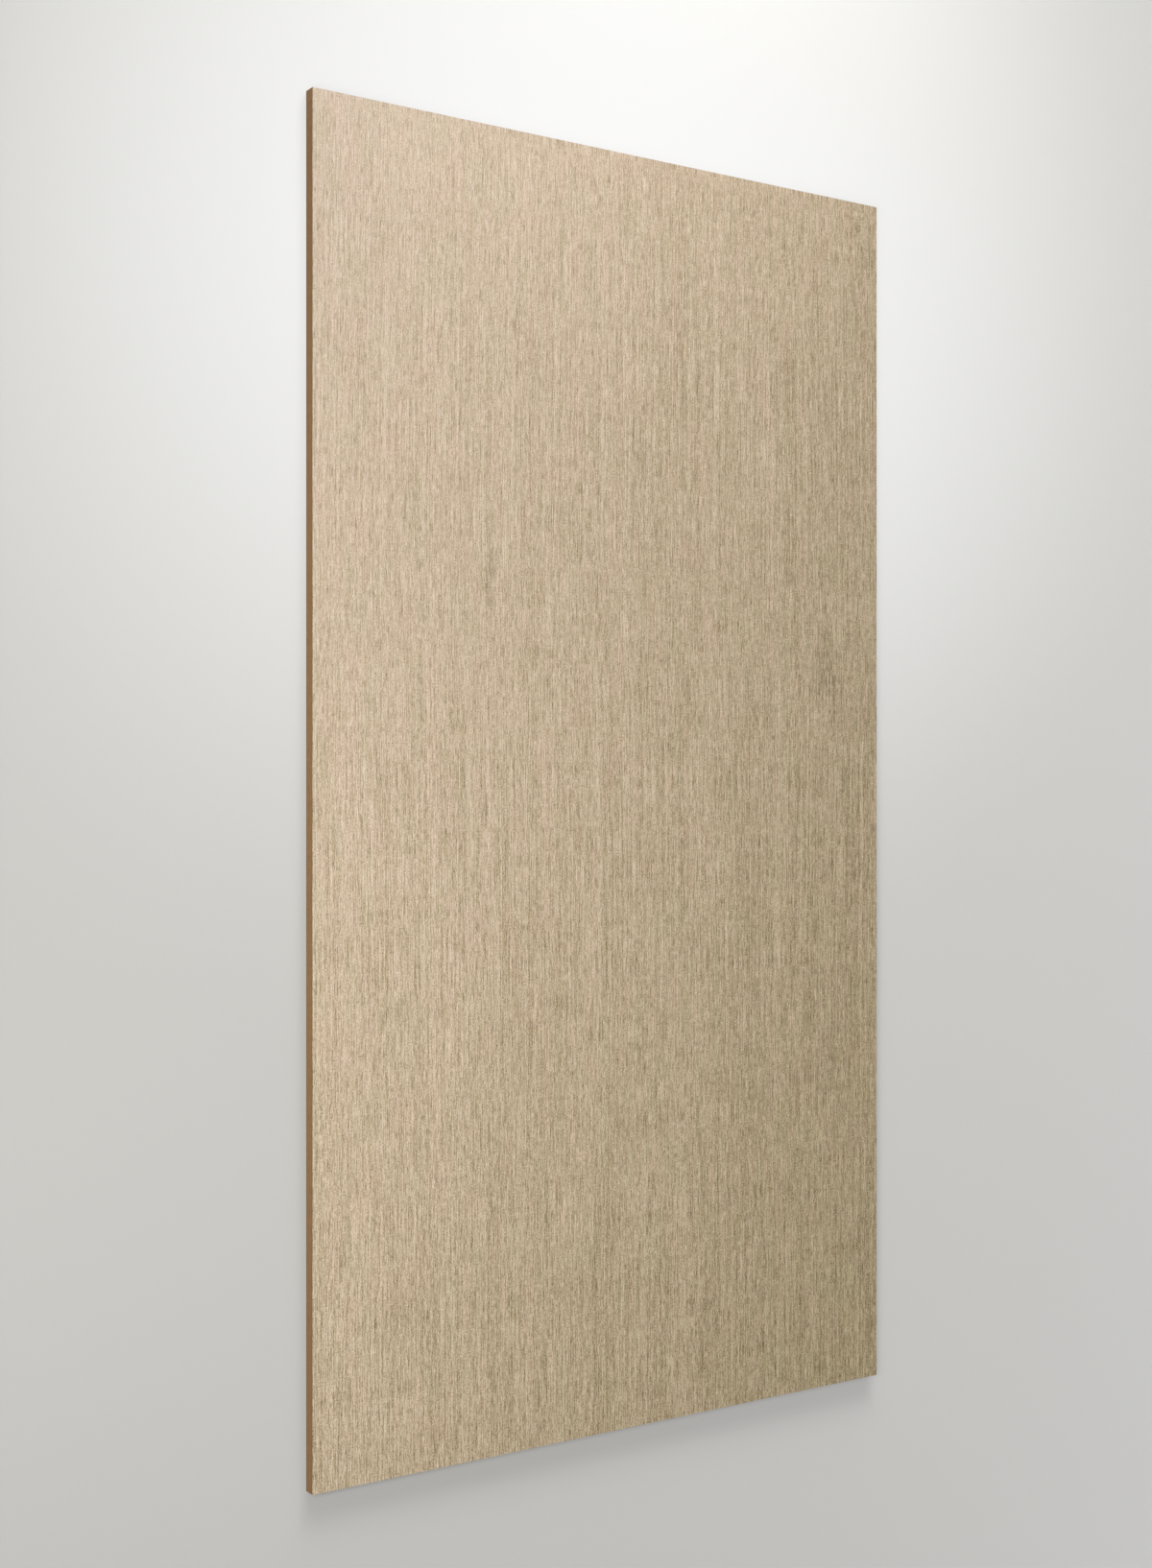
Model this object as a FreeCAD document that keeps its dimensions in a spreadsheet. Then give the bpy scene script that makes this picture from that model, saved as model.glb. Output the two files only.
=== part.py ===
"""A wood veneer sheet: a thin straight-grained wood leaf glued over one face of a plain wood fibre board.

The sheet is two flat pieces that share one outline. The core board carries the thickness and shows on all four
edges and on the back. The face veneer covers the whole top of the board and is trimmed flush with its edges.

Frame: millimetres, +Z up out of the veneered face, +Y along the grain and the sheet's length, +X across it.
The origin is the centre of the back, so the sheet lies on the plane z = 0 with its veneer upwards.
"""

import FreeCAD, Part
import Sketcher
import os

# The driving dimensions: alias, value in millimetres, and what it measures.
SIZES = (
    ("sheet_length", 2440.0, "both pieces, along the grain"),
    ("sheet_width", 1310.0, "both pieces, across the grain"),
    ("core_thickness", 24.4, "the wood fibre board"),
    ("veneer_thickness", 0.6, "the sliced wood leaf on its top face"),
)
SIZES_SHEET = "Sizes"

# Sketcher's numbers for a line's two ends, and for the sketch's own origin.
LINE_START, LINE_END = 1, 2
ORIGIN_GEOMETRY, ORIGIN_POINT = -1, 1


def add_sizes(doc):
    """Writes the driving dimensions into a spreadsheet, one aliased cell a row."""
    sizes = doc.addObject("Spreadsheet::Sheet", SIZES_SHEET)
    for row, (alias, value, meaning) in enumerate(SIZES, start=1):
        sizes.set(f"A{row}", alias)
        sizes.set(f"B{row}", str(value))
        sizes.set(f"C{row}", meaning)
        sizes.setAlias(f"B{row}", alias)
    doc.recompute()
    return sizes


def origin_plane(body, role):
    """Finds one of the body's own origin planes by its role, such as XY_Plane."""
    for feature in body.Origin.OriginFeatures:
        if feature.Role == role:
            return feature
    raise ValueError(f"{body.Label} has no {role}")


def add_outline(body, sizes):
    """Sketches the sheet's outline on the body's XY plane: a rectangle centred on the origin.

    Its width and length are two named constraints, each bound to its cell in the spreadsheet.
    """
    sketch = body.newObject("Sketcher::SketchObject", f"{body.Label}_outline")
    sketch.AttachmentSupport = [(origin_plane(body, "XY_Plane"), "")]
    sketch.MapMode = "FlatFace"
    half_width = float(sizes.sheet_width) / 2
    half_length = float(sizes.sheet_length) / 2
    corners = [
        FreeCAD.Vector(-half_width, -half_length, 0),
        FreeCAD.Vector(half_width, -half_length, 0),
        FreeCAD.Vector(half_width, half_length, 0),
        FreeCAD.Vector(-half_width, half_length, 0),
    ]
    sides = [
        sketch.addGeometry(Part.LineSegment(start, end), False)
        for start, end in zip(corners, corners[1:] + corners[:1])
    ]
    near_end, right_edge, far_end, left_edge = sides
    for side, following in zip(sides, sides[1:] + sides[:1]):
        sketch.addConstraint(Sketcher.Constraint("Coincident", side, LINE_END, following, LINE_START))
    for side in (near_end, far_end):
        sketch.addConstraint(Sketcher.Constraint("Horizontal", side))
    for side in (right_edge, left_edge):
        sketch.addConstraint(Sketcher.Constraint("Vertical", side))
    opposite_corners = (near_end, LINE_START, far_end, LINE_START)
    sketch.addConstraint(Sketcher.Constraint("Symmetric", *opposite_corners, ORIGIN_GEOMETRY, ORIGIN_POINT))
    bind_distance(sketch, "across_grain", "DistanceX", near_end, sizes, "sheet_width")
    bind_distance(sketch, "along_grain", "DistanceY", right_edge, sizes, "sheet_length")
    return sketch


def bind_distance(sketch, name, direction, side, sizes, alias):
    """Gives one side of a sketch a named length that follows a spreadsheet cell."""
    value = float(getattr(sizes, alias))
    index = sketch.addConstraint(Sketcher.Constraint(direction, side, LINE_START, side, LINE_END, value))
    sketch.renameConstraint(index, name)
    sketch.setExpression(f"Constraints.{name}", f"{SIZES_SHEET}.{alias}")


def add_layer(doc, sizes, label, thickness_alias):
    """Makes one flat piece of the sheet: the outline, padded to the thickness in the named cell."""
    body = doc.addObject("PartDesign::Body", label)
    body.Label = label
    outline = add_outline(body, sizes)
    outline.Visibility = False
    pad = body.newObject("PartDesign::Pad", f"{label}_pad")
    pad.Profile = outline
    pad.setExpression("Length", f"{SIZES_SHEET}.{thickness_alias}")
    return body


def add_core_board(doc, sizes):
    """The wood fibre board, from the back at z = 0 up to the glue face."""
    return add_layer(doc, sizes, "core_board", "core_thickness")


def add_face_veneer(doc, sizes):
    """The sliced wood leaf, lying on the core board's glue face and flush with its four edges."""
    veneer = add_layer(doc, sizes, "face_veneer", "veneer_thickness")
    veneer.setExpression("Placement.Base.z", f"{SIZES_SHEET}.core_thickness")
    return veneer


def check(doc, pieces):
    """Stops before anything is written if an object failed or a piece is not one sound solid."""
    for item in doc.Objects:
        if "Invalid" in item.State or "Error" in item.State:
            raise RuntimeError(f"{item.Label} did not build: {item.State}")
    for piece in pieces:
        shape = piece.Shape
        if shape.isNull() or not shape.isValid() or len(shape.Solids) != 1:
            raise RuntimeError(f"{piece.Label} is not one sound solid")


def write(pieces):
    """Writes one STEP file a piece, named after its label, and prints its size and height."""
    os.makedirs("parts", exist_ok=True)
    for piece in pieces:
        piece.Shape.exportStep(f"parts/{piece.Label}.step")
        box = piece.Shape.BoundBox
        size = f"{box.XLength:.2f} x {box.YLength:.2f} x {box.ZLength:.2f} mm"
        print(f"{piece.Label}: {size}, from z = {box.ZMin:.2f} to {box.ZMax:.2f}")


def main():
    """Builds the document, checks it and writes its pieces."""
    doc = FreeCAD.newDocument("wood_veneer_sheet")
    sizes = add_sizes(doc)
    pieces = [add_core_board(doc, sizes), add_face_veneer(doc, sizes)]
    doc.recompute()
    check(doc, pieces)
    write(pieces)


main()
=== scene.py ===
"""Dresses the wood veneer sheet: straight-grained oak with a real grain relief over a brown fibre board.

Frame: metres, +Z up out of the veneered face, +Y along the grain and the sheet's length, +X across the grain.
The sheet lies on the floor, z = 0. The head of the sheet is its +Y end and its left edge is the -X one.
Sizes given in millimetres carry _mm in their names; everything else is in metres.
"""

import logging
import math
from dataclasses import dataclass, field
from enum import Enum
from typing import Any

import bpy
import numpy as np
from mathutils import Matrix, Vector


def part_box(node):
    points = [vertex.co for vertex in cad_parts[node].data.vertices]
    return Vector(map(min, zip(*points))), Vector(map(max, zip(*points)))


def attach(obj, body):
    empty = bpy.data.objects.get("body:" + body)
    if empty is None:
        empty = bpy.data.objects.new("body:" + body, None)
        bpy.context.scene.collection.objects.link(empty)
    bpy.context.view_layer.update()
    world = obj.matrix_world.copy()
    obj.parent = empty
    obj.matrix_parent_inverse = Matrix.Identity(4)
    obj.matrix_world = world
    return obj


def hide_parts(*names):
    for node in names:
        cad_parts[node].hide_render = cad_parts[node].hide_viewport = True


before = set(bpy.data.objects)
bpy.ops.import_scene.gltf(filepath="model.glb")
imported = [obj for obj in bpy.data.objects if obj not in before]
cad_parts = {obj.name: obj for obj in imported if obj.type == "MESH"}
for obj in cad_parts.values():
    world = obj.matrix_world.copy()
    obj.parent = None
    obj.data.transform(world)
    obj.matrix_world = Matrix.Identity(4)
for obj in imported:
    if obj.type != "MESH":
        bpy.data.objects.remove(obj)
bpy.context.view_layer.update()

log = logging.getLogger("wood_veneer_sheet")

MM = 0.001
BAKE_MAP = "OFBake"
LAYER_SHIFT = (17.3, 9.7)  # how far an offset of 1 moves a noise, in bumps across and along the grain
MIX_FIRST, MIX_SECOND, MIX_RESULT = 6, 7, 2  # a Mix node's colour sockets, by number: they share their names


class Body(Enum):
    """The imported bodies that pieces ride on: a sheet with no joints has one."""

    ROOT = "root"


class Slot(Enum):
    """The record's material slots."""

    OAK_VENEER = "oak_veneer"
    CORE_FIBREBOARD = "core_fibreboard"


class Trait(Enum):
    """Mesh attributes that carry the leaf's own grain from its relief into its finish."""

    GRAIN = "grain"
    VALLEY = "valley"
    FIGURE = "figure"


def linear(hex_colour: str) -> tuple[float, float, float, float]:
    """Turns an sRGB hex colour into the linear colour that shaders take.

    Args:
        hex_colour: "#RRGGBB".

    Returns:
        Linear red, green and blue from 0 to 1, and an alpha of 1.
    """
    encoded = np.array([int(hex_colour[i : i + 2], 16) for i in (1, 3, 5)]) / 255
    decoded = np.where(encoded <= 0.04045, encoded / 12.92, ((encoded + 0.055) / 1.055) ** 2.4)
    return (*decoded.tolist(), 1.0)


def add_node(
    tree: bpy.types.NodeTree, kind: str, inputs: dict | None = None, **settings: Any
) -> bpy.types.Node:
    """Adds one shader node with its settings, input values and links.

    Args:
        tree: the node tree that takes the node.
        kind: the node's type, such as "ShaderNodeMath".
        inputs: input name or number to its value, or to the output socket that feeds it.
        settings: the node's own properties by name.

    Returns:
        The new node.
    """
    node = tree.nodes.new(kind)
    for name, value in settings.items():
        setattr(node, name, value)
    for key, value in (inputs or {}).items():
        if isinstance(value, bpy.types.NodeSocket):
            tree.links.new(value, node.inputs[key])
        else:
            node.inputs[key].default_value = value
    return node


def set_ramp(
    node: bpy.types.Node, stops: list[tuple[float, tuple[float, float, float, float]]]
) -> bpy.types.Node:
    """Gives a Color Ramp node its stops.

    Args:
        node: the Color Ramp node.
        stops: position from 0 to 1 and linear colour, in rising order.

    Returns:
        The same node.
    """
    elements = node.color_ramp.elements
    while len(elements) < len(stops):
        elements.new(1.0)
    for element, (position, colour) in zip(elements, stops):
        element.position = position
        element.color = colour
    return node


def mix_colours(
    tree: bpy.types.NodeTree, first: Any, second: Any, share: Any, blend: str = "MIX"
) -> bpy.types.NodeSocket:
    """Mixes two colours, each a socket or a linear colour.

    Args:
        tree: the material's nodes.
        first: the colour beneath.
        second: the colour over it.
        share: how much of the second shows, from 0 to 1, as a socket or a number.
        blend: the Mix node's blend.

    Returns:
        The mixed colour.
    """
    inputs = {0: share, MIX_FIRST: first, MIX_SECOND: second}
    return add_node(tree, "ShaderNodeMix", inputs, data_type="RGBA", blend_type=blend).outputs[MIX_RESULT]


def new_material(name: str) -> bpy.types.Material:
    """Makes a node material with no nodes in it yet.

    Args:
        name: the material's name.

    Returns:
        The empty material.
    """
    material = bpy.data.materials.new(name)
    material.use_nodes = True
    material.node_tree.nodes.clear()
    return material


# --------------------------------------------------------------------------------------------------
# Surfaces worked out with numpy
# --------------------------------------------------------------------------------------------------


def smoothstep(value: np.ndarray) -> np.ndarray:
    """The curve 3t^2 - 2t^3, with t held between 0 and 1."""
    held = np.clip(value, 0.0, 1.0)
    return held * held * (3.0 - 2.0 * held)


def lattice_noise(
    across: np.ndarray, along: np.ndarray, width: float, length: float, rng: np.random.Generator
) -> np.ndarray:
    """A smooth random field whose bumps are about width by length.

    Each corner of a lattice of width by length cells gets a random height from -1 to 1, and a point between
    four corners gets their heights blended by the smoothstep of its place in the cell, across and along.

    Args:
        across: places across the field, in metres.
        along: places along the field, in metres, of the same shape.
        width: the cell's size across, in metres.
        length: the cell's size along, in metres.
        rng: the seeded source of the random heights.

    Returns:
        The field's height at each place, from -1 to 1.
    """
    column = (across - across.min()) / width
    row = (along - along.min()) / length
    heights = rng.uniform(-1.0, 1.0, (int(column.max()) + 2, int(row.max()) + 2))
    i, j = column.astype(int), row.astype(int)
    u, v = smoothstep(column - i), smoothstep(row - j)
    near = heights[i, j] * (1 - u) + heights[i + 1, j] * u
    far = heights[i, j + 1] * (1 - u) + heights[i + 1, j + 1] * u
    return near * (1 - v) + far * v


def ring_of(grid: np.ndarray) -> np.ndarray:
    """Reads a grid's border anticlockwise seen from above, each corner once.

    Args:
        grid: an array whose first axis runs along +Y and whose second runs along +X.

    Returns:
        The border's entries in order, starting at the first column of the first row.
    """
    return np.concatenate([grid[0, :-1], grid[:-1, -1], grid[-1, :0:-1], grid[:0:-1, 0]])


def outwards_of(border: np.ndarray) -> np.ndarray:
    """Points each place of a rectangle's border out of its side, and a corner out of both its sides."""
    return np.sign(border) * np.isclose(np.abs(border), np.abs(border).max(axis=0))


def band_quads(lower: np.ndarray, upper: np.ndarray) -> np.ndarray:
    """Joins two closed rings of vertex numbers with quads that face outwards.

    Args:
        lower: the lower ring, anticlockwise seen from above.
        upper: the upper ring, number for number above the lower one.

    Returns:
        One row of four vertex numbers a quad.
    """
    return np.stack([lower, np.roll(lower, -1), np.roll(upper, -1), upper], axis=1)


def make_mesh(
    name: str, points: np.ndarray, quads: np.ndarray, triangles: np.ndarray, smooth_under_deg: float
) -> bpy.types.Mesh:
    """Puts whole arrays into a mesh: smooth quads with sharp corners, and flat triangles.

    Args:
        name: the mesh's name.
        points: vertex places, one row of x, y and z each, in metres.
        quads: four vertex numbers a row.
        triangles: three vertex numbers a row.
        smooth_under_deg: edges that turn by more than this stay sharp.

    Returns:
        The new mesh.
    """
    mesh = bpy.data.meshes.new(name)
    corners = np.concatenate([quads.ravel(), triangles.ravel()]).astype(np.int32)
    counts = np.concatenate([np.full(len(quads), 4), np.full(len(triangles), 3)])
    starts = np.concatenate([[0], np.cumsum(counts)[:-1]]).astype(np.int32)
    mesh.vertices.add(len(points))
    mesh.vertices.foreach_set("co", points.astype(np.float32).ravel())
    mesh.loops.add(len(corners))
    mesh.loops.foreach_set("vertex_index", corners)
    mesh.polygons.add(len(counts))
    mesh.polygons.foreach_set("loop_start", starts)
    mesh.update(calc_edges=True)
    mesh.validate()
    mesh.polygons.foreach_set("use_smooth", counts == 4)
    mesh.set_sharp_from_angle(angle=math.radians(smooth_under_deg))
    return mesh


def add_attribute(mesh: bpy.types.Mesh, trait: Trait, values: np.ndarray) -> None:
    """Stores one value, or one vector, a vertex in the mesh.

    Args:
        mesh: the mesh that takes the attribute.
        trait: which attribute it is.
        values: one number a vertex, or one row of three.
    """
    is_vector = values.ndim == 2
    layer = mesh.attributes.new(trait.value, "FLOAT_VECTOR" if is_vector else "FLOAT", "POINT")
    layer.data.foreach_set("vector" if is_vector else "value", values.astype(np.float32).ravel())


def place_piece(
    mesh: bpy.types.Mesh, material: bpy.types.Material, node: str
) -> bpy.types.Object:
    """Puts a finished mesh in the scene in the place of a CAD node, dressed in one material.

    Args:
        mesh: the piece's mesh, already in the row frame.
        material: its finish.
        node: the CAD node that the piece replaces.

    Returns:
        The new object, which sits at the origin.
    """
    piece = bpy.data.objects.new(mesh.name, mesh)
    bpy.context.scene.collection.objects.link(piece)
    mesh.materials.append(material)
    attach(piece, Body.ROOT.value)
    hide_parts(node)
    log.info(
        "%s: %d vertices, %d faces, %.1f x %.1f x %.2f mm",
        piece.name, len(mesh.vertices), len(mesh.polygons), *(side / MM for side in piece.dimensions),
    )
    return piece


# --------------------------------------------------------------------------------------------------
# The face veneer
# --------------------------------------------------------------------------------------------------


@dataclass(frozen=True)
class Figure:
    """A place where the grain parts around a buried twig: a long oval of darker, closer dashes.

    x_mm and y_mm are its centre, width_mm and length_mm its half sizes, part_mm how far the grain steps
    aside and strength how dark it is, from 0 to 1.
    """

    x_mm: float
    y_mm: float
    width_mm: float
    length_mm: float
    part_mm: float
    strength: float


@dataclass(frozen=True)
class Streaks:
    """One layer of the leaf's streaks: how wide and long they are and how much each moves the tone.

    amount is the change of tone from one end of the noise to the other, detail how many times it is halved.
    """

    width_mm: float
    length_mm: float
    detail: float
    amount: float


@dataclass(frozen=True)
class Dashes:
    """One kind of short separate dash along the grain, such as the pores.

    offset shifts the pattern, in layer shifts, and limits are the noise at which a dash begins and at which
    it is full. by_valley and by_figure say how much commoner the dashes get in the relief's valleys and in a
    figure. most is how much of their colour shows where they are full.
    """

    width_mm: float
    length_mm: float
    offset: float
    limits: tuple[float, float]
    by_valley: float
    by_figure: float
    most: float


@dataclass(frozen=True)
class SlicedOakVeneer:
    """Rift-sliced white oak veneer, sanded and matt lacquered.

    Slicing at a slant to the rings gives straight parallel lines of pale summer wood and darker open-pored
    spring wood with short light ray flecks, and the matt lacquer gives a soft, broad gloss. Rings are 1 to
    3 mm wide, and the fine streaks are drawn 1.2 to 1.5 mm wide. Pores are 0.3 mm wide, which is too fine
    to show from four metres away, so they are drawn 1.8 mm wide. The figures' own dark dashes are pores
    too.
    """

    name: str = "rift_sliced_oak_veneer"
    darkest: str = "#6D5D45"
    dark: str = "#96866B"
    body: str = "#B4A292"
    pale: str = "#D4C3B6"
    pore_tone: str = "#554D35"
    fleck_tone: str = "#D3C9C0"
    tint_green: str = "#FCFDF8"
    tint_pink: str = "#FFFCFA"
    # painted shade: yellower and a little darker towards the foot's right corner
    painted_shade_tone: str = "#FCFBE1"
    streaks: tuple[Streaks, ...] = (
        Streaks(width_mm=1.3, length_mm=900.0, detail=1.0, amount=0.56),
        Streaks(width_mm=1.2, length_mm=160.0, detail=1.0, amount=0.66),
        Streaks(width_mm=1.2, length_mm=60.0, detail=1.0, amount=0.76),
        Streaks(width_mm=1.2, length_mm=24.0, detail=1.0, amount=0.80),
        Streaks(width_mm=1.2, length_mm=9.0, detail=0.0, amount=0.46),
        Streaks(width_mm=1.5, length_mm=3.0, detail=0.0, amount=0.70),
        Streaks(width_mm=70.0, length_mm=1400.0, detail=1.0, amount=0.08),
    )
    pores: Dashes = Dashes(1.8, 30.0, 3.7, (0.67, 0.77), by_valley=0.05, by_figure=0.17, most=0.50)
    flecks: Dashes = Dashes(2.2, 20.0, 8.1, (0.65, 0.77), by_valley=-0.04, by_figure=0.08, most=0.42)
    patch_mm: tuple[float, float] = (34.0, 150.0)
    patch_offset: float = 12.4
    contrast: tuple[float, float] = (0.54, 1.66)
    valley_tone: float = 0.10
    figure_tone: float = 0.03
    ior: float = 1.50
    roughness: tuple[float, float] = (0.70, 0.56)
    relief_mm: float = 0.06
    pore_depth: float = 0.8

    def make(self, half_width: float, half_length: float) -> bpy.types.Material:
        """Builds the material.

        Args:
            half_width: half the sheet's width, which the slow change of tone spans.
            half_length: half the sheet's length.

        Returns:
            The material, which reads the mesh's grain, valley and figure attributes.
        """
        material = new_material(self.name)
        tree = material.node_tree
        grain = add_node(tree, "ShaderNodeAttribute", attribute_name=Trait.GRAIN.value).outputs["Vector"]
        valley = add_node(tree, "ShaderNodeAttribute", attribute_name=Trait.VALLEY.value).outputs["Fac"]
        figure = add_node(tree, "ShaderNodeAttribute", attribute_name=Trait.FIGURE.value).outputs["Fac"]
        share = self.diagonal_share(tree, grain, half_width, half_length)
        contrast = add_node(
            tree, "ShaderNodeMapRange",
            {"Value": share, "To Min": self.contrast[0], "To Max": self.contrast[1]},
        ).outputs["Result"]
        tone = self.tone(tree, grain, valley, figure, contrast)
        ramp = add_node(tree, "ShaderNodeValToRGB", {"Fac": tone})
        darker = [(0.0, linear(self.darkest)), (0.28, linear(self.dark))]
        paler = [(0.55, linear(self.body)), (1.0, linear(self.pale))]
        set_ramp(ramp, darker + paler)
        pores = self.dashes(tree, grain, valley, figure, self.pores)
        flecks = self.dashes(tree, grain, valley, figure, self.flecks)
        colour = self.mixed(tree, ramp.outputs["Color"], linear(self.pore_tone), pores, self.pores.most)
        colour = self.mixed(tree, colour, linear(self.fleck_tone), flecks, self.flecks.most)
        colour = self.tinted(tree, colour, grain)
        # Painted shade: the leaf is multiplied yellower and a little darker towards the foot's right corner,
        # away from the lamps.
        colour = mix_colours(tree, colour, linear(self.painted_shade_tone), share, "MULTIPLY")
        roughness = add_node(
            tree, "ShaderNodeMapRange",
            {"Value": tone, "To Min": self.roughness[0], "To Max": self.roughness[1]},
        ).outputs["Result"]
        height = add_node(
            tree, "ShaderNodeMath", {0: pores, 1: -self.pore_depth, 2: tone}, operation="MULTIPLY_ADD"
        ).outputs["Value"]
        bump = add_node(
            tree, "ShaderNodeBump", {"Strength": 1.0, "Distance": self.relief_mm * MM, "Height": height}
        ).outputs["Normal"]
        shader = add_node(
            tree, "ShaderNodeBsdfPrincipled",
            {"Base Color": colour, "Roughness": roughness, "Normal": bump, "IOR": self.ior},
        )
        add_node(tree, "ShaderNodeOutputMaterial", {"Surface": shader.outputs["BSDF"]})
        return material

    def noise(
        self, tree: bpy.types.NodeTree, grain: bpy.types.NodeSocket, width_mm: float, length_mm: float,
        detail: float, offset: float,
    ) -> bpy.types.NodeSocket:
        """Adds noise stretched along the grain.

        Args:
            tree: the material's nodes.
            grain: the grain's own coordinates, in metres across and along.
            width_mm: a bump's size across the grain.
            length_mm: its size along the grain.
            detail: how many times the pattern is halved and added.
            offset: how far it is shifted, in layer shifts, so that no two layers share a pattern.

        Returns:
            The noise, from 0 to 1 about 0.5.
        """
        placed = add_node(
            tree, "ShaderNodeMapping",
            {"Vector": grain, "Location": (LAYER_SHIFT[0] * offset, LAYER_SHIFT[1] * offset, 0.0),
             "Scale": (1 / (width_mm * MM), 1 / (length_mm * MM), 0.0)},
        ).outputs["Vector"]
        return add_node(
            tree, "ShaderNodeTexNoise",
            {"Vector": placed, "Scale": 1.0, "Detail": detail, "Roughness": 0.55}, noise_dimensions="2D",
        ).outputs["Fac"]

    def tone(
        self, tree: bpy.types.NodeTree, grain: bpy.types.NodeSocket, valley: bpy.types.NodeSocket,
        figure: bpy.types.NodeSocket, contrast: bpy.types.NodeSocket,
    ) -> bpy.types.NodeSocket:
        """Adds up the streak layers and the relief's valleys into one tone.

        Args:
            tree: the material's nodes.
            grain: the grain's own coordinates.
            valley: how deep the relief is, from 0 to 1.
            figure: how strong the figure is, from 0 to 1.
            contrast: how far the tone strays from the middle one.

        Returns:
            The tone, from 0, darkest, to 1, palest, about 0.5.
        """
        total: Any = self.valley_tone / 2 - sum(layer.amount for layer in self.streaks) / 2
        for number, layer in enumerate(self.streaks):
            value = self.noise(tree, grain, layer.width_mm, layer.length_mm, layer.detail, 1.0 + number)
            total = add_node(
                tree, "ShaderNodeMath", {0: value, 1: layer.amount, 2: total}, operation="MULTIPLY_ADD"
            ).outputs["Value"]
        for value, amount in ((valley, -self.valley_tone), (figure, -self.figure_tone)):
            total = add_node(
                tree, "ShaderNodeMath", {0: value, 1: amount, 2: total}, operation="MULTIPLY_ADD"
            ).outputs["Value"]
        return add_node(
            tree, "ShaderNodeMath", {0: total, 1: contrast, 2: 0.5}, operation="MULTIPLY_ADD"
        ).outputs["Value"]

    def dashes(
        self, tree: bpy.types.NodeTree, grain: bpy.types.NodeSocket, valley: bpy.types.NodeSocket,
        figure: bpy.types.NodeSocket, kind: Dashes,
    ) -> bpy.types.NodeSocket:
        """Adds short separate dashes along the grain: the peaks of a noise, cut off below a limit.

        Args:
            tree: the material's nodes.
            grain: the grain's own coordinates.
            valley: how deep the relief is, from 0 to 1.
            figure: how strong the figure is, from 0 to 1.
            kind: the dashes' size, limits and liking for valleys and figures.

        Returns:
            The dashes, from 0, none, to 1.
        """
        value = self.noise(tree, grain, kind.width_mm, kind.length_mm, 1.0, kind.offset)
        for liked, weight in ((valley, kind.by_valley), (figure, kind.by_figure)):
            value = add_node(
                tree, "ShaderNodeMath", {0: liked, 1: weight, 2: value}, operation="MULTIPLY_ADD"
            ).outputs["Value"]
        return add_node(
            tree, "ShaderNodeMapRange",
            {"Value": value, "From Min": kind.limits[0], "From Max": kind.limits[1]},
            interpolation_type="SMOOTHSTEP",
        ).outputs["Result"]

    def mixed(
        self, tree: bpy.types.NodeTree, colour: bpy.types.NodeSocket, other: Any, mask: bpy.types.NodeSocket,
        most: float,
    ) -> bpy.types.NodeSocket:
        """Lays another colour over a colour by a mask.

        Args:
            tree: the material's nodes.
            colour: the colour beneath.
            other: the colour laid over it, as a socket or a linear colour.
            mask: where it lies, from 0 to 1.
            most: how much of it shows where the mask is 1.

        Returns:
            The mixed colour.
        """
        share = add_node(tree, "ShaderNodeMath", {0: mask, 1: most}, operation="MULTIPLY").outputs["Value"]
        return mix_colours(tree, colour, other, share)

    def tinted(
        self, tree: bpy.types.NodeTree, colour: bpy.types.NodeSocket, grain: bpy.types.NodeSocket
    ) -> bpy.types.NodeSocket:
        """Tints the leaf by faint greenish and pinkish patches the size of a finger.

        Args:
            tree: the material's nodes.
            colour: the leaf's colour.
            grain: the grain's own coordinates.

        Returns:
            The tinted colour.
        """
        patches = self.noise(tree, grain, *self.patch_mm, 1.0, self.patch_offset)
        ramp = add_node(tree, "ShaderNodeValToRGB", {"Fac": patches})
        set_ramp(ramp, [(0.30, linear(self.tint_green)), (0.70, linear(self.tint_pink))])
        return mix_colours(tree, colour, ramp.outputs["Color"], 1.0, "MULTIPLY")

    def diagonal_share(
        self, tree: bpy.types.NodeTree, grain: bpy.types.NodeSocket, half_width: float, half_length: float
    ) -> bpy.types.NodeSocket:
        """Works out how far a place is from the head's left corner towards the foot's right one.

        Towards the foot's right corner the leaf's grain gets slowly bolder, and a painted shade makes it
        slowly yellower and a little darker, away from the lamps. The share is 0.5 + x / 4w - y / 4l, with w
        and l half the sheet's width and length: 0 at the one corner and 1 at the other.

        Args:
            tree: the material's nodes.
            grain: the grain's own coordinates.
            half_width: half the sheet's width.
            half_length: half the sheet's length.

        Returns:
            The share.
        """
        slope = add_node(
            tree, "ShaderNodeVectorMath", {0: grain, 1: (0.25 / half_width, -0.25 / half_length, 0.0)},
            operation="DOT_PRODUCT",
        ).outputs["Value"]
        return add_node(tree, "ShaderNodeMath", {0: slope, 1: 0.5}, operation="ADD").outputs["Value"]


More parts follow.
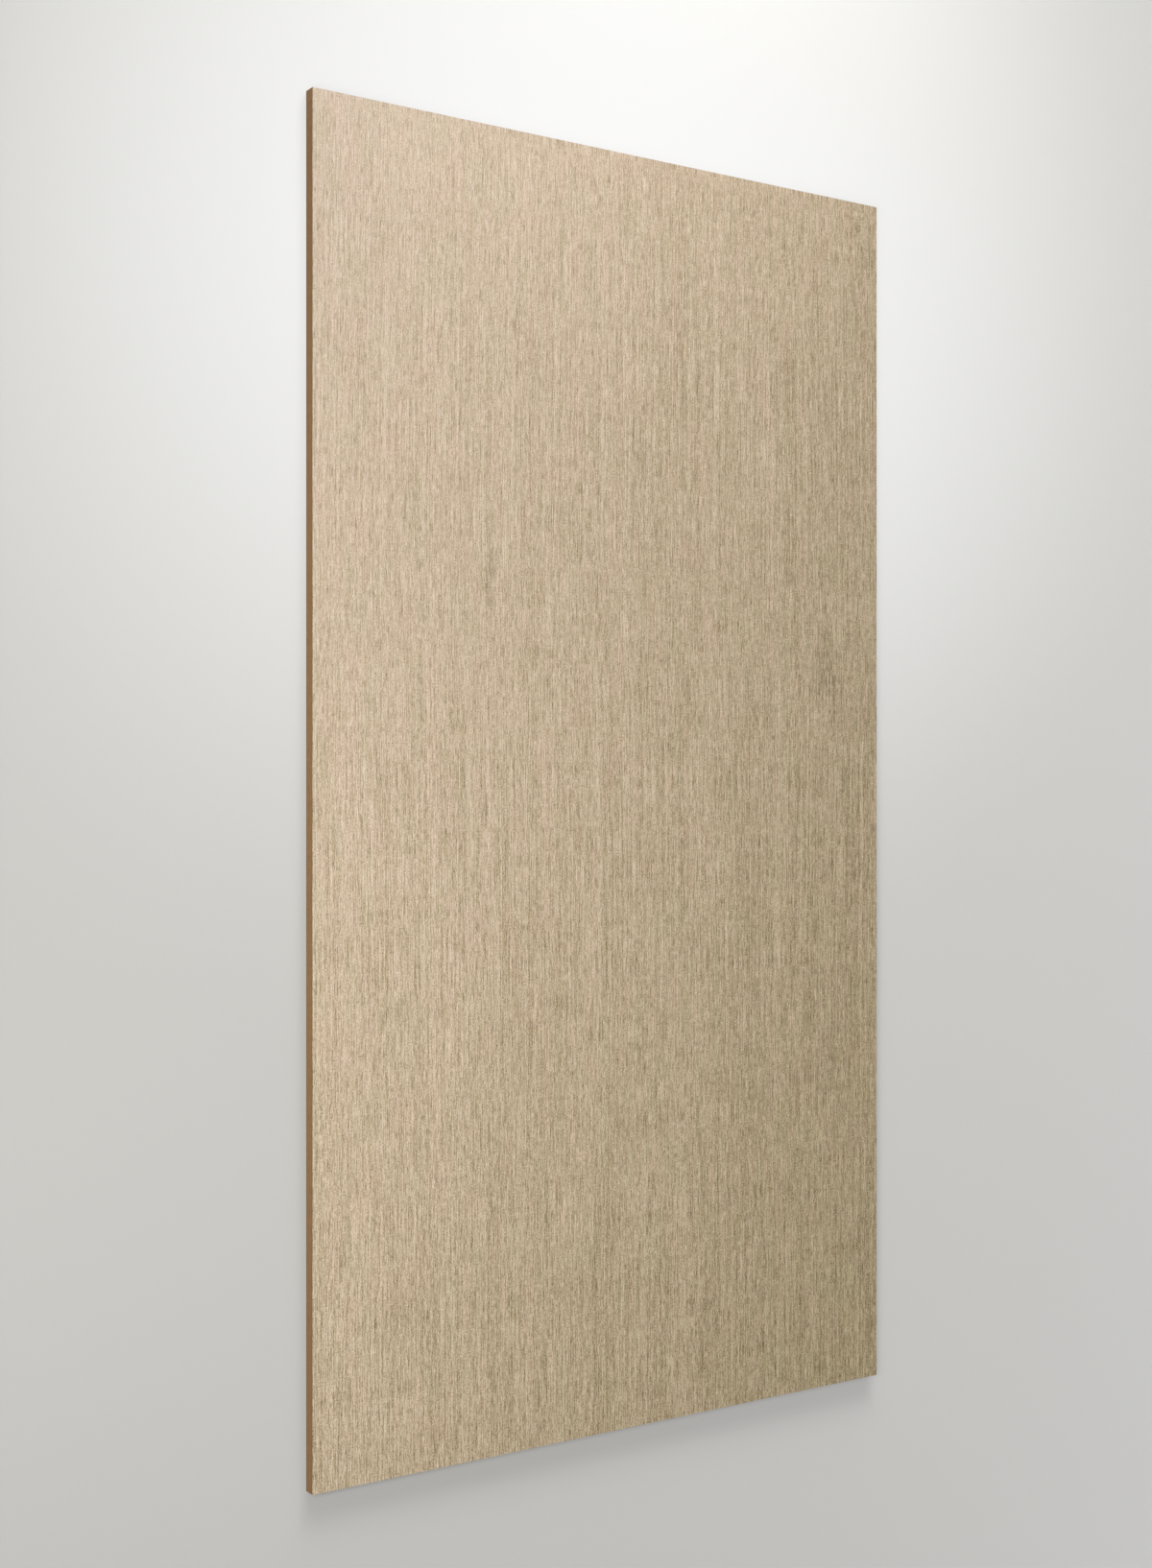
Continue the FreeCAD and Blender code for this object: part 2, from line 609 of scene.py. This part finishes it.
@dataclass
class FaceVeneer:
    """The oak leaf: a closed shell whose top is grooved along the grain as sliced, sanded oak is.

    low and high are the CAD leaf's corners. The top is a grid of columns by rows, and depth_mm is the
    deepest groove. Every groove is cut down from the CAD leaf's top, so that the leaf stays inside its
    size. arris_mm is the size of the sanded edge and ring_mm the width of the relief's noises.

    Each wander is how far the grain strays, in mm, and its bends' size across and along, in metres. Each
    ridge noise is its weight and its length, in metres.
    """

    low: Vector
    high: Vector
    finish: SlicedOakVeneer = field(default_factory=SlicedOakVeneer)
    node: str = "face_veneer"
    columns: int = 760
    rows: int = 124
    depth_mm: float = 0.08
    arris_mm: float = 0.15
    ring_mm: float = 3.4
    wanders: tuple[tuple[float, float, float], ...] = ((7.0, 0.30, 0.85), (0.8, 0.05, 0.16))
    ridges: tuple[tuple[float, float], ...] = ((0.45, 0.65), (0.40, 0.13), (0.45, 0.045))
    seed: int = 4
    figures: tuple[Figure, ...] = (
        Figure(x_mm=515.0, y_mm=240.0, width_mm=26.0, length_mm=70.0, part_mm=1.6, strength=1.0),
        Figure(x_mm=-291.0, y_mm=400.0, width_mm=10.0, length_mm=45.0, part_mm=0.8, strength=0.9),
        Figure(x_mm=-235.0, y_mm=880.0, width_mm=12.0, length_mm=60.0, part_mm=0.8, strength=0.6),
        Figure(x_mm=525.0, y_mm=-580.0, width_mm=18.0, length_mm=80.0, part_mm=1.0, strength=0.7),
        Figure(x_mm=365.0, y_mm=20.0, width_mm=12.0, length_mm=50.0, part_mm=0.8, strength=0.6),
        Figure(x_mm=215.0, y_mm=-1040.0, width_mm=14.0, length_mm=50.0, part_mm=0.8, strength=0.7),
    )

    def grain_coordinates(self, x: np.ndarray, y: np.ndarray, rng: np.random.Generator) -> np.ndarray:
        """Works out which grain line passes through each place.

        A line's number is x, shifted by a slow wander of a few millimetres a metre, by a quicker one of
        under a millimetre, and by each figure, which pushes the lines aside: its part times the distance
        from its middle in half widths, times a Gaussian of its half sizes.

        Args:
            x: places across the sheet.
            y: places along the sheet.
            rng: the seeded source of the wander.

        Returns:
            The places across and along the grain and a zero, one row a place, in metres.
        """
        across = x
        for reach_mm, width, length in self.wanders:
            across = across + reach_mm * MM * lattice_noise(x, y, width, length, rng)
        for spot in self.figures:
            u = (x / MM - spot.x_mm) / spot.width_mm
            v = (y / MM - spot.y_mm) / spot.length_mm
            across = across - spot.part_mm * MM * u * np.exp(-u * u - v * v)
        return np.stack([across, y, np.zeros_like(x)], axis=-1)

    def figure_strength(self, x: np.ndarray, y: np.ndarray) -> np.ndarray:
        """Adds up the figures, each a Gaussian of its half sizes times its strength.

        Args:
            x: places across the sheet.
            y: places along the sheet.

        Returns:
            The strength at each place, from 0 to 1.
        """
        total = np.zeros_like(x)
        for spot in self.figures:
            u = (x / MM - spot.x_mm) / spot.width_mm
            v = (y / MM - spot.y_mm) / spot.length_mm
            total += spot.strength * np.exp(-u * u - v * v)
        return np.minimum(total, 1.0)

    def valley_depth(self, grain: np.ndarray, figure: np.ndarray, rng: np.random.Generator) -> np.ndarray:
        """Works out how deep the surface lies between its ridges.

        Ridges and valleys one ring apart are the sum of lattice noises of one width and of several lengths,
        and a figure deepens them.

        Args:
            grain: places across and along the grain.
            figure: how strong the figure is at each place.
            rng: the seeded source of the noises.

        Returns:
            The depth from 0, a ridge, to 1, the deepest valley.
        """
        across, along = grain[..., 0], grain[..., 1]
        width = self.ring_mm * MM
        height = sum(
            weight * lattice_noise(across, along, width, length, rng)
            for weight, length in self.ridges
        )
        return smoothstep(0.5 + 0.5 * height + 0.25 * figure)

    def build(self) -> bpy.types.Mesh:
        """Builds the shell: the grooved top, a sanded arris, four sides and a flat underside.

        Returns:
            The mesh, with its grain attributes.
        """
        rng = np.random.default_rng(self.seed)
        arris = self.arris_mm * MM
        x, y = np.meshgrid(
            np.linspace(self.low.x + arris, self.high.x - arris, self.columns + 1),
            np.linspace(self.low.y + arris, self.high.y - arris, self.rows + 1),
        )
        grain = self.grain_coordinates(x, y, rng)
        figure = self.figure_strength(x, y)
        valley = self.valley_depth(grain, figure, rng)
        top = np.stack([x, y, self.high.z - self.depth_mm * MM * valley], axis=-1)

        border = ring_of(top)
        rounding = np.column_stack([outwards_of(border[:, :2]) * arris, np.full(len(border), -arris)])
        shoulder = border + rounding
        foot = np.column_stack([shoulder[:, :2], np.full(len(border), self.low.z)])
        middle = np.array([[0.0, 0.0, self.low.z]])
        points = np.concatenate([top.reshape(-1, 3), shoulder, foot, middle])

        number = np.arange(top.shape[0] * top.shape[1]).reshape(top.shape[:2])
        top_ring = ring_of(number)
        shoulder_ring = number.size + np.arange(len(border))
        foot_ring = shoulder_ring + len(border)
        centre = np.full(len(border), foot_ring[-1] + 1)
        cells = np.stack([number[:-1, :-1], number[:-1, 1:], number[1:, 1:], number[1:, :-1]], axis=-1)
        quads = np.concatenate(
            [cells.reshape(-1, 4), band_quads(shoulder_ring, top_ring), band_quads(foot_ring, shoulder_ring)]
        )
        underside = np.stack([np.roll(foot_ring, -1), foot_ring, centre], axis=1)
        mesh = make_mesh("veneer_leaf", points, quads, underside, smooth_under_deg=30.0)
        for trait, values in ((Trait.GRAIN, grain), (Trait.VALLEY, valley), (Trait.FIGURE, figure)):
            add_attribute(mesh, trait, self.with_sides(values))
        self.add_bake_map(mesh, len(border))
        return mesh

    def with_sides(self, values: np.ndarray) -> np.ndarray:
        """Carries the top's values down its border to the shoulder, the foot and the underside's middle.

        Args:
            values: one number, or one row of three, for each point of the top's grid.

        Returns:
            The same for each vertex of the leaf.
        """
        flat = values.reshape(values.shape[0] * values.shape[1], -1)
        edge = ring_of(values).reshape(-1, flat.shape[1])
        return np.concatenate([flat, edge, edge, flat[:1]]).squeeze()

    def add_bake_map(self, mesh: bpy.types.Mesh, border_length: int) -> None:
        """Unfolds the leaf so that its top fills nearly all of the square.

        The top is stretched to the square above a narrow shelf. On the shelf the arris, the sides and the
        underside lie one above another, each unrolled from left to right.

        Args:
            mesh: the leaf's mesh, its faces in the order top, arris, sides and underside.
            border_length: how many points the top's border has.
        """
        margin, shelf = 0.004, 0.04
        arris_band, side_band, fan_top = (0.028, 0.036), (0.016, 0.024), 0.012
        u = np.linspace(margin, 1 - margin, self.columns + 1)
        v = np.linspace(shelf, 1 - margin, self.rows + 1)
        top = np.stack(np.meshgrid(u, v), axis=-1)
        cells = np.stack([top[:-1, :-1], top[:-1, 1:], top[1:, 1:], top[1:, :-1]], axis=2)
        left = margin + (1 - 2 * margin) * np.arange(border_length) / border_length
        right = left + (1 - 2 * margin) / border_length
        pieces = [cells.reshape(-1, 2)]
        for low, high in (arris_band, side_band):
            corners = [(left, low), (right, low), (right, high), (left, high)]
            band = [np.stack([across, np.full(border_length, up)], axis=-1) for across, up in corners]
            pieces.append(np.stack(band, axis=1).reshape(-1, 2))
        corners = [(right, fan_top), (left, fan_top), ((left + right) / 2, margin)]
        fan = [np.stack([across, np.full(border_length, up)], axis=-1) for across, up in corners]
        pieces.append(np.stack(fan, axis=1).reshape(-1, 2))
        layer = mesh.uv_layers.new(name=BAKE_MAP)
        layer.uv.foreach_set("vector", np.concatenate(pieces).astype(np.float32).ravel())

    def dress(self) -> bpy.types.Object:
        """Builds the leaf, dresses it in oak and lets it stand for the CAD leaf.

        Returns:
            The leaf.
        """
        mesh = self.build()
        material = self.finish.make(self.high.x, self.high.y)
        return place_piece(mesh, material, self.node)


# --------------------------------------------------------------------------------------------------
# The core board
# --------------------------------------------------------------------------------------------------


@dataclass(frozen=True)
class Speckle:
    """One layer of speckle: its bumps' size along X, Y and Z, its detail and its weight in the tone."""

    size_mm: tuple[float, float, float]
    detail: float
    amount: float


@dataclass(frozen=True)
class SawnFibreboard:
    """Brown wood fibre board, pressed dry, sanded on its faces and sawn on its edges.

    Pressing leaves hard, darker skins and a looser, paler middle, the fibres lie flat in the board, and the
    saw leaves fine lines across the edge. Fibres are 2 to 4 mm long and 0.05 mm thick; they are drawn 1 mm
    thick.
    """

    name: str = "sawn_brown_fibreboard"
    dark: str = "#694E2D"
    body: str = "#83633E"
    pale: str = "#96754E"
    skin: str = "#E3DCCF"
    fibres: Speckle = Speckle(size_mm=(3.2, 3.2, 0.9), detail=3.0, amount=0.62)
    clumps: Speckle = Speckle(size_mm=(16.0, 16.0, 5.0), detail=2.0, amount=0.26)
    saw_lines: Speckle = Speckle(size_mm=(1.6, 1.6, 60.0), detail=1.0, amount=0.16)
    ior: float = 1.48
    roughness: float = 0.85
    relief_mm: float = 0.12

    def make(self, thickness: float) -> bpy.types.Material:
        """Builds the material.

        Args:
            thickness: the board's thickness, which its density spans.

        Returns:
            The material, which reads Object coordinates.
        """
        material = new_material(self.name)
        tree = material.node_tree
        place = add_node(tree, "ShaderNodeTexCoord").outputs["Object"]
        layers = (self.fibres, self.clumps, self.saw_lines)
        tone: Any = 0.5 - sum(layer.amount for layer in layers) / 2
        for layer in layers:
            speckle = self.noise(tree, place, layer.size_mm, layer.detail)
            tone = add_node(
                tree, "ShaderNodeMath", {0: speckle, 1: layer.amount, 2: tone}, operation="MULTIPLY_ADD"
            ).outputs["Value"]
        ramp = add_node(tree, "ShaderNodeValToRGB", {"Fac": tone})
        set_ramp(ramp, [(0.25, linear(self.dark)), (0.52, linear(self.body)), (0.80, linear(self.pale))])
        height = add_node(tree, "ShaderNodeSeparateXYZ", {0: place}).outputs["Z"]
        share = add_node(
            tree, "ShaderNodeMapRange", {"Value": height, "From Max": thickness}
        ).outputs["Result"]
        density = add_node(tree, "ShaderNodeValToRGB", {"Fac": share})
        white = (1.0, 1.0, 1.0, 1.0)
        skin = linear(self.skin)
        set_ramp(density, [(0.0, skin), (0.12, white), (0.88, white), (1.0, skin)])
        colour = mix_colours(tree, ramp.outputs["Color"], density.outputs["Color"], 1.0, "MULTIPLY")
        bump = add_node(
            tree, "ShaderNodeBump",
            {"Strength": 1.0, "Distance": self.relief_mm * MM, "Height": tone},
        ).outputs["Normal"]
        shader = add_node(
            tree, "ShaderNodeBsdfPrincipled",
            {"Base Color": colour, "Roughness": self.roughness, "Normal": bump, "IOR": self.ior},
        )
        add_node(tree, "ShaderNodeOutputMaterial", {"Surface": shader.outputs["BSDF"]})
        return material

    def noise(
        self, tree: bpy.types.NodeTree, place: bpy.types.NodeSocket, size_mm: tuple[float, float, float],
        detail: float,
    ) -> bpy.types.NodeSocket:
        """Adds noise whose bumps have the given size.

        Args:
            tree: the material's nodes.
            place: the coordinates, in metres.
            size_mm: a bump's size along X, Y and Z.
            detail: how many times the pattern is halved and added.

        Returns:
            The noise, from 0 to 1 about 0.5.
        """
        placed = add_node(
            tree, "ShaderNodeMapping", {"Vector": place, "Scale": tuple(1 / (size * MM) for size in size_mm)}
        ).outputs["Vector"]
        return add_node(
            tree, "ShaderNodeTexNoise", {"Vector": placed, "Scale": 1.0, "Detail": detail, "Roughness": 0.6}
        ).outputs["Fac"]


@dataclass
class CoreBoard:
    """The fibre board: a closed shell with sawn edges, an eased arris round its back and a flat glue face.

    low and high are the CAD board's corners. step_mm is the spacing of the points round the edge, hollow_mm
    how far the softer middle of the edge is cut back, rough_mm how uneven the sawing is and rough_size_mm
    the size of that along and up the edge. arris_mm is the size of the eased corner and arris_points how many
    points round it.
    """

    low: Vector
    high: Vector
    finish: SawnFibreboard = field(default_factory=SawnFibreboard)
    node: str = "core_board"
    step_mm: float = 4.0
    rows: int = 14
    hollow_mm: float = 0.05
    rough_mm: float = 0.05
    rough_size_mm: tuple[float, float] = (9.0, 4.0)
    arris_mm: float = 0.45
    arris_points: int = 4
    seed: int = 11

    def outline(self) -> tuple[np.ndarray, np.ndarray]:
        """Walks round the board's rectangle anticlockwise, from the left edge's foot corner.

        Returns:
            The points, and for each the direction out of the board; a corner's points out of both its sides.
        """
        width, length = self.high.x - self.low.x, self.high.y - self.low.y
        step = self.step_mm * MM
        x = np.linspace(self.low.x, self.high.x, round(width / step) + 1)
        y = np.linspace(self.low.y, self.high.y, round(length / step) + 1)
        grid = np.stack(np.meshgrid(x, y), axis=-1)
        points = ring_of(grid)
        return points, outwards_of(points)

    def build(self) -> bpy.types.Mesh:
        """Builds the shell: a profile up the edge, carried round the outline.

        The profile is cut back from the CAD board's edge by a quarter round of the arris at the foot, by a
        half sine of the hollow between the two faces and by the saw's roughness, which is nothing at the
        glue line.

        Returns:
            The mesh.
        """
        rng = np.random.default_rng(self.seed)
        outline, outwards = self.outline()
        thickness = self.high.z - self.low.z
        arris = self.arris_mm * MM
        turn = np.linspace(0.0, math.pi / 2, self.arris_points)
        rise = np.concatenate([arris * (1 - np.cos(turn)), np.linspace(arris, thickness, self.rows)[1:]])
        rounding = np.concatenate([arris * (1 - np.sin(turn)), np.zeros(self.rows - 1)])
        share = rise / thickness
        walked = np.arange(len(outline)) * self.step_mm * MM
        around, up = np.meshgrid(walked, rise)
        wave_length, wave_height = (size * MM for size in self.rough_size_mm)
        rough = 0.5 + 0.5 * lattice_noise(around, up, wave_length, wave_height, rng)
        sawn = (np.sin(math.pi * share) * self.hollow_mm * MM)[:, None]
        sawn = sawn + (np.sin(math.pi * share) ** 0.5 * self.rough_mm * MM)[:, None] * rough
        back = rounding[:, None] + np.maximum(sawn, 0.0)
        sides = outline[None] - back[..., None] * outwards[None]
        heights = np.broadcast_to(rise[:, None, None] + self.low.z, (*back.shape, 1))
        points = np.concatenate([sides, heights], axis=-1)

        number = np.arange(back.size).reshape(back.shape)
        quads = np.concatenate([band_quads(number[k], number[k + 1]) for k in range(len(rise) - 1)])
        under, over = np.full(len(outline), back.size), np.full(len(outline), back.size + 1)
        triangles = np.concatenate(
            [
                np.stack([np.roll(number[0], -1), number[0], under], axis=1),
                np.stack([number[-1], np.roll(number[-1], -1), over], axis=1),
            ]
        )
        middles = np.array([[0.0, 0.0, self.low.z], [0.0, 0.0, self.high.z]])
        every_point = np.concatenate([points.reshape(-1, 3), middles])
        return make_mesh("fibreboard_core", every_point, quads, triangles, smooth_under_deg=40.0)

    def dress(self) -> bpy.types.Object:
        """Builds the board, dresses it in fibre board and lets it stand for the CAD board."""
        material = self.finish.make(self.high.z - self.low.z)
        return place_piece(self.build(), material, self.node)


# --------------------------------------------------------------------------------------------------
# The studio
# --------------------------------------------------------------------------------------------------


@dataclass(frozen=True)
class Lamp:
    """A square soft box aimed at the middle of the sheet: its name, place, side and power in watts."""

    name: str
    place: tuple[float, float, float]
    side: float
    power: float


@dataclass(frozen=True)
class Studio:
    """A plain pale floor, two soft boxes, an even fill, a low light for the floor alone and the camera.

    The camera looks down on the sheet with its own top towards the sheet's head. It leans from straight
    above by lean_deg towards the left edge, and its axis meets the face half way along, at x = aim_x,
    distance away. shift is the lens's rise.

    The low light comes from beyond the head, low_light_deg above the floor, and is low_light_spread_deg
    wide. The floor's paint runs from floor_near at paint_place to floor_far one paint_reach away. Over it
    lies light that only the camera sees: a wash that grows the same way, and a pool round pool_place that
    ends one pool_reach away. The floor turns into the backdrop's tone between the two distances of fade.
    """

    lean_deg: float = 34.16
    distance: float = 3.8758
    aim_x: float = -0.1039
    lens_mm: float = 47.26
    sensor_mm: float = 36.0
    shift: float = 0.0045
    lamps: tuple[Lamp, ...] = (
        Lamp("left_soft_box", (-2.15, -0.34, 2.20), 1.2, 93.0),
        Lamp("head_soft_box", (-0.08, 2.50, 1.20), 0.9, 38.0),
    )
    fill: float = 0.30
    low_light: float = 3.5
    low_light_deg: float = 14.0
    low_light_spread_deg: float = 40.0
    floor_near: str = "#83827E"
    floor_far: str = "#B3B2AE"
    paint_place: tuple[float, float] = (-1.68, 1.20)
    paint_reach: tuple[float, float] = (3.79, 8.80)
    backdrop_tone: str = "#C8C7C3"
    wash: float = 0.34
    pool: float = 0.69
    pool_place: tuple[float, float] = (-0.20, 0.97)
    pool_reach: tuple[float, float] = (1.94, 1.47)
    fade: tuple[float, float] = (2.2, 4.6)
    floor_half: float = 30.0

    def place_camera(self, face_height: float) -> bpy.types.Object:
        """Makes the camera and sets it as the scene's.

        Args:
            face_height: the height of the veneered face, which the camera's axis meets.

        Returns:
            The camera.
        """
        lean = math.radians(self.lean_deg)
        right = Vector((math.cos(lean), 0.0, math.sin(lean)))
        up = Vector((0.0, 1.0, 0.0))
        back = right.cross(up)
        place = Vector((self.aim_x, 0.0, face_height)) + back * self.distance
        data = bpy.data.cameras.new("camera")
        data.lens = self.lens_mm
        data.sensor_width = self.sensor_mm
        data.shift_y = self.shift
        camera = bpy.data.objects.new("camera", data)
        matrix = camera.matrix_world.to_3x3()
        matrix.col[0], matrix.col[1], matrix.col[2] = right, up, back
        camera.matrix_world = matrix.to_4x4()
        camera.location = place
        bpy.context.scene.collection.objects.link(camera)
        bpy.context.scene.camera = camera
        return camera

    def place_lamps(self, target: Vector) -> None:
        """Hangs the soft boxes. They aren't seen by the camera.

        Args:
            target: the place that they are aimed at.
        """
        for lamp in self.lamps:
            data = bpy.data.lights.new(lamp.name, "AREA")
            data.size = lamp.side
            data.energy = lamp.power
            light = bpy.data.objects.new(lamp.name, data)
            light.location = lamp.place
            light.rotation_euler = (target - light.location).to_track_quat("-Z", "Y").to_euler()
            light.visible_camera = False
            bpy.context.scene.collection.objects.link(light)

    def graze_floor(self, floor: bpy.types.Object) -> None:
        """Adds a low, soft light from beyond the head, for the shadow that the sheet throws past its foot.

        It is linked to the floor alone, because it would pick out every fibre of the face.

        Args:
            floor: the only thing that it lights.
        """
        low = math.radians(self.low_light_deg)
        data = bpy.data.lights.new("low_floor_light", "SUN")
        data.energy = self.low_light
        data.angle = math.radians(self.low_light_spread_deg)
        light = bpy.data.objects.new("low_floor_light", data)
        shining = Vector((0.0, -math.cos(low), -math.sin(low)))
        light.rotation_euler = shining.to_track_quat("-Z", "Y").to_euler()
        bpy.context.scene.collection.objects.link(light)
        lit = bpy.data.collections.new("lit_by_low_floor_light")
        lit.objects.link(floor)
        light.light_linking.receiver_collection = lit

    def light_world(self) -> None:
        """Gives the world an even fill.

        The camera, and what mirrors or passes light, sees the backdrop's own tone instead.
        """
        world = bpy.data.worlds.new("studio")
        bpy.context.scene.world = world
        world.use_nodes = True
        tree = world.node_tree
        tree.nodes.clear()
        seen = self.seen_directly(tree)
        fill = add_node(tree, "ShaderNodeBackground", {"Color": (1.0, 1.0, 1.0, 1.0), "Strength": self.fill})
        backdrop = add_node(
            tree, "ShaderNodeBackground", {"Color": linear(self.backdrop_tone), "Strength": 1.0}
        )
        both = add_node(tree, "ShaderNodeMixShader", {0: seen, 1: fill.outputs[0], 2: backdrop.outputs[0]})
        add_node(tree, "ShaderNodeOutputWorld", {"Surface": both.outputs[0]})

    def seen_directly(self, tree: bpy.types.NodeTree) -> bpy.types.NodeSocket:
        """Adds a value that tells what is seen, straight on, mirrored or through glass, from what lights.

        Args:
            tree: the nodes of a material or the world.

        Returns:
            The value: 1 for camera, glossy and transmission rays and 0 for the rest.
        """
        path = add_node(tree, "ShaderNodeLightPath")
        total = path.outputs["Is Camera Ray"]
        for name in ("Is Glossy Ray", "Is Transmission Ray"):
            total = add_node(
                tree, "ShaderNodeMath", {0: total, 1: path.outputs[name]}, operation="MAXIMUM"
            ).outputs["Value"]
        return total

    def lay_floor(self) -> bpy.types.Object:
        """Lays a level pale floor, matt near the sheet and running into the backdrop's tone far off.

        Returns:
            The floor.
        """
        half = self.floor_half
        corners = np.array([[-half, -half, 0.0], [half, -half, 0.0], [half, half, 0.0], [-half, half, 0.0]])
        square = np.array([[0, 1, 2, 3]])
        mesh = make_mesh("floor", corners, square, np.empty((0, 3), int), smooth_under_deg=30.0)
        floor = bpy.data.objects.new("floor", mesh)
        bpy.context.scene.collection.objects.link(floor)
        mesh.materials.append(self.floor_material())
        return floor

    def floor_material(self) -> bpy.types.Material:
        """Makes the floor: matt paint that keeps the shadow, and light on it that only the camera sees.

        The paint gets paler away from the left soft box, as does the wash of light over it, and an oval
        pool of light lies round the sheet's head. Far off, all of it turns into the backdrop's tone, so
        that the floor has no horizon.

        Returns:
            The material, which reads Object coordinates.
        """
        material = new_material("matt_studio_floor")
        tree = material.node_tree
        place = add_node(tree, "ShaderNodeTexCoord").outputs["Object"]
        seen = self.seen_directly(tree)
        painted = self.distance_from(tree, place, self.paint_place, self.paint_reach)
        away = add_node(tree, "ShaderNodeMath", {0: painted, 1: 1.0}, operation="MINIMUM").outputs["Value"]
        ramp = add_node(tree, "ShaderNodeValToRGB", {"Fac": away})
        set_ramp(ramp, [(0.0, linear(self.floor_near)), (1.0, linear(self.floor_far))])
        paint = add_node(tree, "ShaderNodeBsdfDiffuse", {"Color": ramp.outputs["Color"]})
        pool = add_node(
            tree, "ShaderNodeMapRange",
            {"Value": self.distance_from(tree, place, self.pool_place, self.pool_reach),
             "To Min": self.pool, "To Max": 0.0},
            interpolation_type="SMOOTHSTEP",
        ).outputs["Result"]
        lit = add_node(
            tree, "ShaderNodeMath", {0: away, 1: self.wash, 2: pool}, operation="MULTIPLY_ADD", use_clamp=True
        ).outputs["Value"]
        lit = add_node(tree, "ShaderNodeMath", {0: lit, 1: seen}, operation="MULTIPLY").outputs["Value"]
        light = add_node(tree, "ShaderNodeEmission", {"Color": (1.0, 1.0, 1.0, 1.0), "Strength": 1.0})
        near = add_node(tree, "ShaderNodeMixShader", {0: lit, 1: paint.outputs[0], 2: light.outputs[0]})

        far = add_node(tree, "ShaderNodeEmission", {"Color": linear(self.backdrop_tone), "Strength": seen})
        distance = self.distance_from(tree, place, (0.0, 0.0), (1.0, 1.0))
        share = add_node(
            tree, "ShaderNodeMapRange",
            {"Value": distance, "From Min": self.fade[0], "From Max": self.fade[1]},
            interpolation_type="SMOOTHSTEP",
        ).outputs["Result"]
        both = add_node(tree, "ShaderNodeMixShader", {0: share, 1: near.outputs[0], 2: far.outputs[0]})
        add_node(tree, "ShaderNodeOutputMaterial", {"Surface": both.outputs[0]})
        return material

    def distance_from(
        self, tree: bpy.types.NodeTree, place: bpy.types.NodeSocket, middle: tuple[float, float],
        reach: tuple[float, float],
    ) -> bpy.types.NodeSocket:
        """Adds the distance over the floor from a middle, in reaches across and along.

        Args:
            tree: the material's nodes.
            place: the floor's own coordinates.
            middle: the place that it is measured from.
            reach: the distance across, and that along, that count as 1.

        Returns:
            The distance.
        """
        moved = add_node(
            tree, "ShaderNodeVectorMath", {0: place, 1: (*middle, 0.0)}, operation="SUBTRACT"
        ).outputs["Vector"]
        shrunk = add_node(
            tree, "ShaderNodeVectorMath", {0: moved, 1: (*reach, 1.0)}, operation="DIVIDE"
        ).outputs["Vector"]
        return add_node(tree, "ShaderNodeVectorMath", {0: shrunk}, operation="LENGTH").outputs["Value"]


def main() -> None:
    """Dresses both pieces of the sheet and sets up the studio around them."""
    logging.basicConfig(level=logging.INFO, format="%(message)s")
    bpy.context.scene.view_settings.view_transform = "Standard"
    board = CoreBoard(*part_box("core_board"))
    leaf = FaceVeneer(*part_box("face_veneer"))
    for piece in (board, leaf):
        piece.dress()
    studio = Studio()
    studio.place_camera(leaf.high.z)
    studio.place_lamps(Vector((0.0, 0.0, leaf.high.z)))
    studio.light_world()
    studio.graze_floor(studio.lay_floor())


if __name__ == "__main__":
    main()
